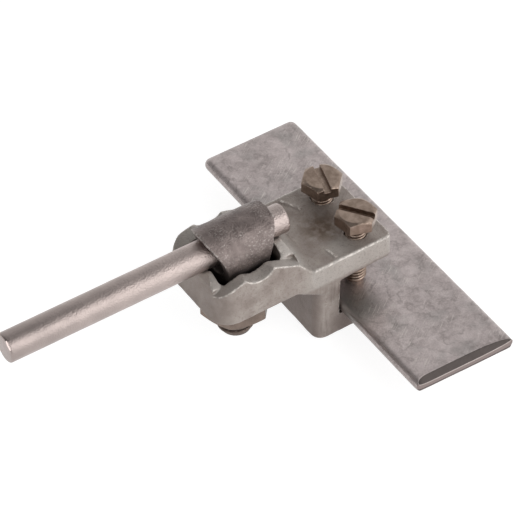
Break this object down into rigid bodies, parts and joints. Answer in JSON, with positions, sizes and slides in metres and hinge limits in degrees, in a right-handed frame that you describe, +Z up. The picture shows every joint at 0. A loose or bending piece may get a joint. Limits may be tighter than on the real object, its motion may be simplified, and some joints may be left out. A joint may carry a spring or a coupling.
{
  "type": "flat to round conductor clamp",
  "caption": "Cast clamp with a C-shaped jaw and clamping screws for a flat conductor, and a notched pocket with an eye bolt and nut that holds a round conductor across it.",
  "frame": {"origin": "centre of the lower jaw's underside", "axes": "+X along the round conductor towards the flat conductor, +Y along the flat conductor, +Z up from the lower jaw to the screw heads"},
  "size_m": [0.1206, 0.101, 0.0424],
  "materials": {
    "casting": "hot-dip galvanised casting, grainy, pale grey green with bright worn edges",
    "forging": "hot-dip galvanised forging, darker grey with a faint purple cast",
    "nut": "plain stainless steel, slightly warm",
    "screw": "stainless steel, warm brown grey",
    "round_conductor": "drawn satin aluminium",
    "strip": "hot-dip galvanised strip, mottled grey"
  },
  "bodies": {
    "clamp": {"clamp_body": "casting", "round_conductor": "round_conductor", "flat_conductor": "strip"},
    "eye": {"eye_bolt": "forging"},
    "nut": {"hex_nut": "nut"},
    "screw_back": {"clamp_screw_back": "screw"},
    "screw_front": {"clamp_screw_front": "screw"}
  },
  "joints": [
    {"name": "nut_turn", "type": "hinge", "parent": "clamp", "child": "nut", "pos_m": [-0.028, 0, 0.0162], "axis": [0, 0, -1], "range_deg": [0, 720]},
    {"name": "eye_lift", "type": "slide", "parent": "clamp", "child": "eye", "axis": [0, 0, 1], "range_m": [0, 0.003]},
    {"name": "screw_back_lift", "type": "slide", "parent": "clamp", "child": "screw_back", "axis": [0, 0, 1], "range_m": [0, 0.009]},
    {"name": "screw_front_lift", "type": "slide", "parent": "clamp", "child": "screw_front", "axis": [0, 0, 1], "range_m": [0, 0.009]}
  ],
  "couplings": [
    {"joint": "nut_turn", "follows": "eye_lift", "rad_per_m": 4188.7}
  ]
}
